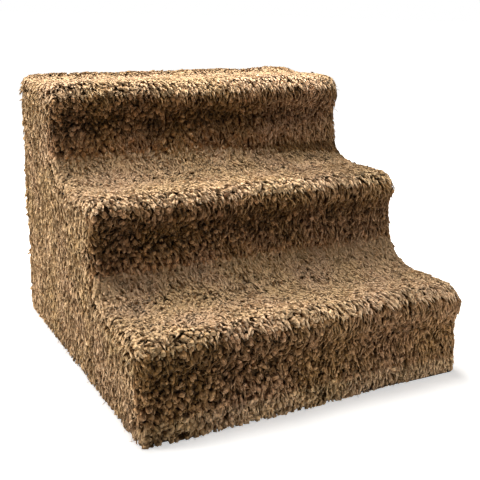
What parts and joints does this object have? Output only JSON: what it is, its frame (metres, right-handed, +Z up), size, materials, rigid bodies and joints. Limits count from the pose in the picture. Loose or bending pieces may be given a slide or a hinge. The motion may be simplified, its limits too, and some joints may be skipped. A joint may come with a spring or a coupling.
{
  "type": "pet stairs",
  "caption": "Low stairs for a pet: a board carcass on rubber feet inside a loose curly-fleece cover, to climb on to a bed or sofa.",
  "frame": {"origin": "middle of the footprint on the floor, under the feet", "axes": "+Z up, +Y from the lowest step towards the plain back, +X across the steps to the right of someone who climbs them"},
  "size_m": [0.405, 0.42, 0.324],
  "materials": {
    "fleece": "matte curly pile",
    "binding": "matte woven tape",
    "webbing": "matte woven webbing",
    "hook_tape": "matte hooks",
    "board": "raw fibreboard",
    "softwood": "planed softwood",
    "rubber": "matte",
    "steel": "zinc plated"
  },
  "bodies": {
    "root": {"back_panel": "board", "back_screws": "steel", "cleat_screws": "steel", "corner_block_back_left": "softwood", "corner_block_back_right": "softwood", "corner_block_front_left": "softwood", "corner_block_front_right": "softwood", "cover_back": "fleece", "cover_front_strip": "fleece", "cover_side_left_front": "fleece", "cover_side_left_rear": "fleece", "cover_side_right_front": "fleece", "cover_side_right_rear": "fleece", "foot_back_left": "rubber", "foot_back_right": "rubber", "foot_front_left": "rubber", "foot_front_right": "rubber", "foot_screws": "steel", "hem_binding": "binding", "hold_down_strap_back_left": "webbing", "hold_down_strap_back_right": "webbing", "hold_down_strap_front_left": "webbing", "hold_down_strap_front_right": "webbing", "hook_patch_back_left": "hook_tape", "hook_patch_back_right": "hook_tape", "hook_patch_front_left": "hook_tape", "hook_patch_front_right": "hook_tape", "riser_board_lower": "board", "riser_board_middle": "board", "riser_board_upper": "board", "riser_screws": "steel", "side_panel_left": "board", "side_panel_right": "board", "tread_board_lower": "board", "tread_board_middle": "board", "tread_board_upper": "board", "tread_cleat_lower_left": "softwood", "tread_cleat_lower_right": "softwood", "tread_cleat_middle_left": "softwood", "tread_cleat_middle_right": "softwood", "tread_cleat_upper_left": "softwood", "tread_cleat_upper_right": "softwood", "tread_screws": "steel"}
  },
  "joints": []
}
